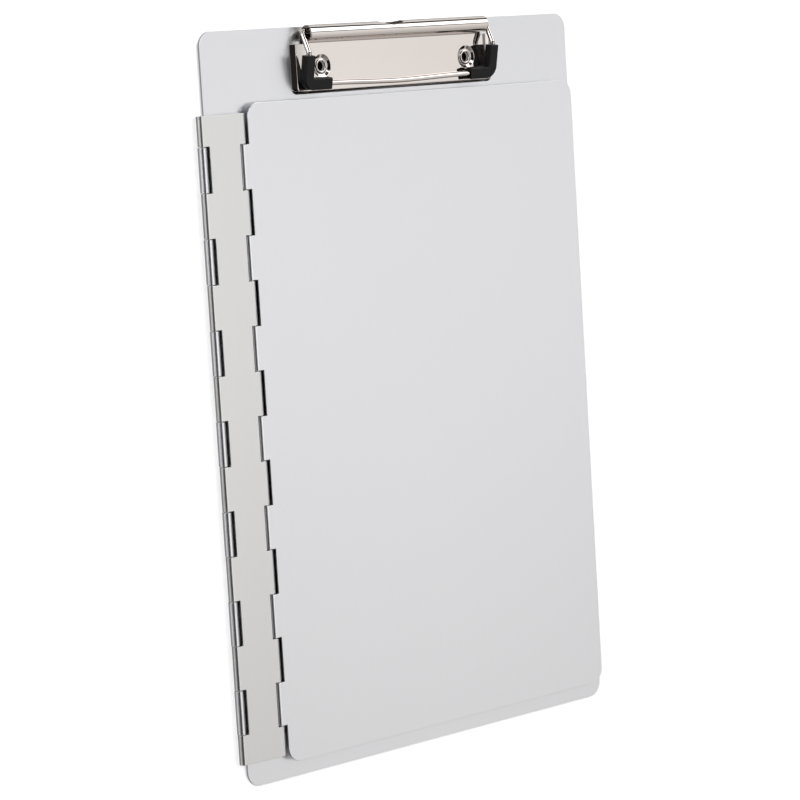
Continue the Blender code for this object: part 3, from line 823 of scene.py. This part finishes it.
def cap_path(side):
    """The stretch of the bail that a corner cap covers."""
    slope = (CREST_Z - BAR_Z) / (CREST_Y - BAR_Y)
    top = (side * ARM_X, CAP_TOP_Y, BAR_Z + slope * (CAP_TOP_Y - BAR_Y))
    points = [top, (side * ARM_X, BAR_Y, BAR_Z), (side * CAP_END_X, BAR_Y, BAR_Z)]
    return fillet(points, 1, CORNER_BEND, BEND_STEPS)


def sweep(builder, path, section, clip_x):
    """Carry a section square along a path of the bail, and return its rings."""
    normal = Vector((0, BAR_Z - CREST_Z, CREST_Y - BAR_Y)).normalized()
    points = [Vector((clip_x + x, y, z)) for x, y, z in path]
    rings = []
    for index, here in enumerate(points):
        ahead = points[min(index + 1, len(points) - 1)] - here
        behind = here - points[max(index - 1, 0)]
        tangent = (ahead.normalized() + behind.normalized()).normalized()
        across = normal.cross(tangent).normalized()
        upright = tangent.cross(across)
        rings.append([builder.verts.new(here + across * u + upright * v) for u, v in section])
    for first, second in zip(rings, rings[1:]):
        bridge_rings(builder, first, second)
    return rings


def make_wire(clip_x, leg, material):
    """The whole spring wire: legs in the tube, arms and bar."""
    stations = [CAP_END_X * (2 * step / BAR_STEPS - 1) for step in range(1, BAR_STEPS)]
    path = side_path(-1, leg) + [bar_point(x) for x in stations] + side_path(1, leg)[::-1]
    builder = bmesh.new()
    rings = sweep(builder, path, circle_section(WIRE_RADIUS, WIRE_SIDES), clip_x)
    builder.faces.new(rings[0])
    builder.faces.new(rings[-1])
    wire = make_piece("bail_wire", builder, material)
    ease_edges(wire, WIRE_EDGE, 3)
    return stand_for(wire, "bail", "wire_bail")


def block_section():
    """Outline of a cap: a rectangle with rounded corners, with as many points as its bore."""
    across = CAP_WIDTH / 2 - CAP_ROUNDING
    deep = CAP_DEPTH / 2 - CAP_ROUNDING
    steps = CAP_SIDES // 4 - 1
    points = arc_points(across, deep, CAP_ROUNDING, 0, steps)
    points += arc_points(-across, deep, CAP_ROUNDING, 90, steps)
    points += arc_points(-across, -deep, CAP_ROUNDING, 180, steps)
    points += arc_points(across, -deep, CAP_ROUNDING, 270, steps)
    return points


def make_cap(name, side, clip_x, node, material):
    """A soft L-shaped cap on one corner of the bail."""
    builder = bmesh.new()
    path = cap_path(side)
    outer = sweep(builder, path, block_section(), clip_x)
    turned = circle_section(CAP_BORE, CAP_SIDES)
    inner = sweep(builder, path, turned, clip_x)
    bridge_rings(builder, outer[0], inner[0])
    bridge_rings(builder, outer[-1], inner[-1])
    cap = make_piece(name, builder, material)
    ease_edges(cap, CAP_EDGE, 3)
    return stand_for(cap, "bail", node)


# Studio

def angle_of(tree, first, second):
    """The angle, in degrees, of a direction seen along one axis."""
    turn = tree.nodes.new("ShaderNodeMath")
    turn.operation = "ARCTAN2"
    link(tree, first, turn.inputs[0])
    link(tree, second, turn.inputs[1])
    degrees = tree.nodes.new("ShaderNodeMath")
    degrees.operation = "DEGREES"
    link(tree, turn.outputs[0], degrees.inputs[0])
    return degrees.outputs[0]


def smooth_step(tree, source, low, high):
    """0 below low, 1 above high, smooth between."""
    node = tree.nodes.new("ShaderNodeMapRange")
    node.interpolation_type = "SMOOTHSTEP"
    node.inputs["From Min"].default_value = low
    node.inputs["From Max"].default_value = high
    link(tree, source, node.inputs["Value"])
    return node.outputs["Result"]


def combine(tree, operation, *values):
    """A Math node of two or three inputs, each a socket or a number."""
    node = tree.nodes.new("ShaderNodeMath")
    node.operation = operation
    for socket, value in zip(node.inputs, values):
        if isinstance(value, (int, float)):
            socket.default_value = value
        else:
            link(tree, value, socket)
    return node.outputs[0]


def band(tree, source, low, high, soft):
    """1 between low and high, 0 outside, with soft edges."""
    rising = smooth_step(tree, source, low - soft, low + soft)
    falling = smooth_step(tree, source, high - soft, high + soft)
    return combine(tree, "SUBTRACT", rising, falling)


def profile(tree, angle, stops):
    """A brightness that follows straight lines between (degrees, value) stops."""
    first = stops[0][0]
    last = stops[-1][0]
    top = max(value for degrees, value in stops)
    place = tree.nodes.new("ShaderNodeMapRange")
    place.inputs["From Min"].default_value = first
    place.inputs["From Max"].default_value = last
    link(tree, angle, place.inputs["Value"])
    ramp = tree.nodes.new("ShaderNodeValToRGB")
    elements = ramp.color_ramp.elements
    for element, (degrees, value) in zip(elements, (stops[0], stops[-1])):
        element.color = (value / top, value / top, value / top, 1.0)
    for degrees, value in stops[1:-1]:
        element = elements.new((degrees - first) / (last - first))
        element.color = (value / top, value / top, value / top, 1.0)
    link(tree, place.outputs["Result"], ramp.inputs[0])
    return combine(tree, "MULTIPLY", ramp.outputs["Color"], top)


def shade(tree, light, zone, amount):
    """Take a share of the light away where a zone is 1."""
    return combine(tree, "MULTIPLY", light, combine(tree, "MULTIPLY_ADD", zone, -amount, 1.0))


def split_rays(tree, to_camera, to_others, output):
    """Show one shader to the camera and another to every other ray."""
    seen = tree.nodes.new("ShaderNodeLightPath")
    choice = tree.nodes.new("ShaderNodeMixShader")
    link(tree, seen.outputs["Is Camera Ray"], choice.inputs[0])
    link(tree, to_others, choice.inputs[1])
    link(tree, to_camera, choice.inputs[2])
    link(tree, choice.outputs[0], tree.nodes[output].inputs["Surface"])


def studio_light(tree, x, y, z):
    """Brightness by direction: a big card, a bar for the tube, a strip low on the left at the
    back, and dark zones to the right and overhead."""
    along_angle = angle_of(tree, y, z)
    across_angle = angle_of(tree, x, z)
    bar = combine(tree, "MULTIPLY", profile(tree, along_angle, CARD_BAR), band(tree, x, *BAR_X))
    along = combine(tree, "MAXIMUM", profile(tree, along_angle, CARD_ALONG), bar)
    back = smooth_step(tree, y, *BACK_RISE)
    across = combine(tree, "MAXIMUM", profile(tree, across_angle, CARD_ACROSS), back)
    above = smooth_step(tree, z, *HORIZON_RISE)
    above = combine(tree, "MULTIPLY_ADD", above, 1 - HORIZON_LIGHT, HORIZON_LIGHT)
    light = combine(tree, "MULTIPLY", combine(tree, "MULTIPLY", along, across), above)
    flag = combine(tree, "MULTIPLY", band(tree, across_angle, *FLAG_ANGLES), band(tree, y, *FLAG_Y))
    light = shade(tree, light, flag, FLAG_SHADE)
    overhead = smooth_step(tree, y, *OVERHEAD_RISE)
    overhead = combine(tree, "MULTIPLY", overhead, band(tree, x, *OVERHEAD_X))
    light = shade(tree, light, overhead, OVERHEAD_SHADE)
    strip = band(tree, across_angle, *STRIP_ANGLES)
    strip = combine(tree, "MULTIPLY", strip, band(tree, y, *STRIP_Y))
    return combine(tree, "MULTIPLY_ADD", strip, STRIP_LIGHT, light)


def make_world():
    """A soft studio in the reflections, in front of a plain white background."""
    world = bpy.data.worlds.new("studio")
    bpy.context.scene.world = world
    world.use_nodes = True
    tree = world.node_tree
    background = tree.nodes["Background"]
    split = tree.nodes.new("ShaderNodeSeparateXYZ")
    link(tree, tree.nodes.new("ShaderNodeTexCoord").outputs["Generated"], split.inputs[0])
    x, y, z = split.outputs
    tint = blend_colours(tree, smooth_step(tree, y, *WARMTH_RISE), (WARM, WHITE))
    link(tree, tint, background.inputs["Color"])
    link(tree, studio_light(tree, x, y, z), background.inputs["Strength"])
    plain = tree.nodes.new("ShaderNodeBackground")
    plain.inputs["Color"].default_value = (*WHITE, 1.0)
    split_rays(tree, plain.outputs[0], background.outputs[0], "World Output")


def make_floor():
    """A plain pale floor slab: near white to look at, with painted shade under the board, but in
    the metal's reflections white behind and beside the clipboard and grey elsewhere."""
    builder = bmesh.new()
    bmesh.ops.create_cube(builder, size=1.0)
    bmesh.ops.scale(builder, vec=(FLOOR_WIDTH, FLOOR_WIDTH, FLOOR_DEPTH), verts=builder.verts)
    bmesh.ops.translate(builder, vec=(0, 0, FLOOR_TOP - FLOOR_DEPTH / 2), verts=builder.verts)
    material, tree, shader, place = start_material("pale_floor")
    shader.inputs["Roughness"].default_value = 0.9
    shader.inputs["Specular IOR Level"].default_value = 0.0
    shader.inputs["Emission Color"].default_value = (*WHITE, 1.0)
    split = tree.nodes.new("ShaderNodeSeparateXYZ")
    link(tree, place, split.inputs[0])
    x, y, z = split.outputs
    # Painted shade: under the board the floor is near black and does not glow, standing in for the
    # board's shadow
    covered = combine(tree, "MULTIPLY", band(tree, x, *PAINTED_SHADE_X), band(tree, y, *PAINTED_SHADE_Y))
    covered = combine(tree, "MULTIPLY", covered, smooth_step(tree, z, *PAINTED_SHADE_Z))
    link(tree, remap(tree, covered, FLOOR_COLOUR, PAINTED_SHADE_COLOUR), shader.inputs["Base Color"])
    link(tree, remap(tree, covered, FLOOR_GLOW, 0.0), shader.inputs["Emission Strength"])
    reflected = tree.nodes.new("ShaderNodeEmission")
    behind = smooth_step(tree, y, *WHITE_BEHIND)
    beyond = combine(tree, "MAXIMUM", behind, smooth_step(tree, x, *WHITE_BESIDE))
    link(tree, remap(tree, beyond, REFLECTED_GREY, 1.0), reflected.inputs["Strength"])
    split_rays(tree, shader.outputs[0], reflected.outputs[0], "Material Output")
    make_piece("floor", builder, material)


def make_camera():
    """The camera, from its place and its right and up directions."""
    right = Vector(CAMERA_RIGHT).normalized()
    up = Vector(CAMERA_UP)
    up = (up - right * up.dot(right)).normalized()
    back = right.cross(up)
    data = bpy.data.cameras.new("camera")
    data.lens = CAMERA_LENS
    data.clip_start = 0.01
    data.clip_end = 100.0
    camera = bpy.data.objects.new("camera", data)
    turn = Matrix((right, up, back)).transposed().to_4x4()
    camera.matrix_world = Matrix.Translation(CAMERA_PLACE) @ turn
    bpy.context.scene.collection.objects.link(camera)
    bpy.context.scene.camera = camera


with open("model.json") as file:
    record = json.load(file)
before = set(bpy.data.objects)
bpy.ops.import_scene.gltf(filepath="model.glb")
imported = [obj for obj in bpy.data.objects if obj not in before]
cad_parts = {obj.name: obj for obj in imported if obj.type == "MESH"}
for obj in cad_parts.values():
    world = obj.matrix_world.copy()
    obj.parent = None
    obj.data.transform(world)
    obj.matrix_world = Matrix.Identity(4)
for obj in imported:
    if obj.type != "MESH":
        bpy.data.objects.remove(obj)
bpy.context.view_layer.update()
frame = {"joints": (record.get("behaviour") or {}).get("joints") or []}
axes = {joint["name"]: Vector(joint["pos_m"]) for joint in frame["joints"]}
outer_axis = axes["spine_hinge"]
inner_axis = axes["cover_hinge"]
leg = axes["bail_hinge"]
clip_x = leg.x

make_camera()
make_world()
make_floor()
bpy.context.scene.view_settings.view_transform = "Standard"

board_metal = satin_aluminium("board_satin", BOARD_COLOURS)
spine_metal = satin_aluminium("spine_satin", SPINE_COLOURS)
cover_metal = satin_aluminium("cover_satin", BOARD_COLOURS)
pin_steel = drawn_steel("pin_steel")
make_board(outer_axis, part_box("back_board")[1].x, clip_x, board_metal)
make_spine(outer_axis, inner_axis, spine_metal)
make_cover(inner_axis, cover_metal)
make_pin("outer_pin", "outer_hinge_pin", "board", pin_steel)
make_pin("inner_pin", "inner_hinge_pin", "spine", pin_steel)
make_clip_plate(clip_x, bright_nickel("plate_mirror"))
make_wire(clip_x, leg, bright_nickel("wire_mirror", 0.05, 0.0))
rubber = black_rubber("cap_black")
eyelet_metal = bright_nickel("eyelet_mirror", 0.06, 0.0)
for side, label in ((-1, "left"), (1, "right")):
    make_cap(label + "_cap", side, clip_x, label + "_corner_cap", rubber)
    eyelet_x = clip_x + side * EYELET_X
    make_eyelet(label + "_rivet", eyelet_x, label + "_eyelet", eyelet_metal)
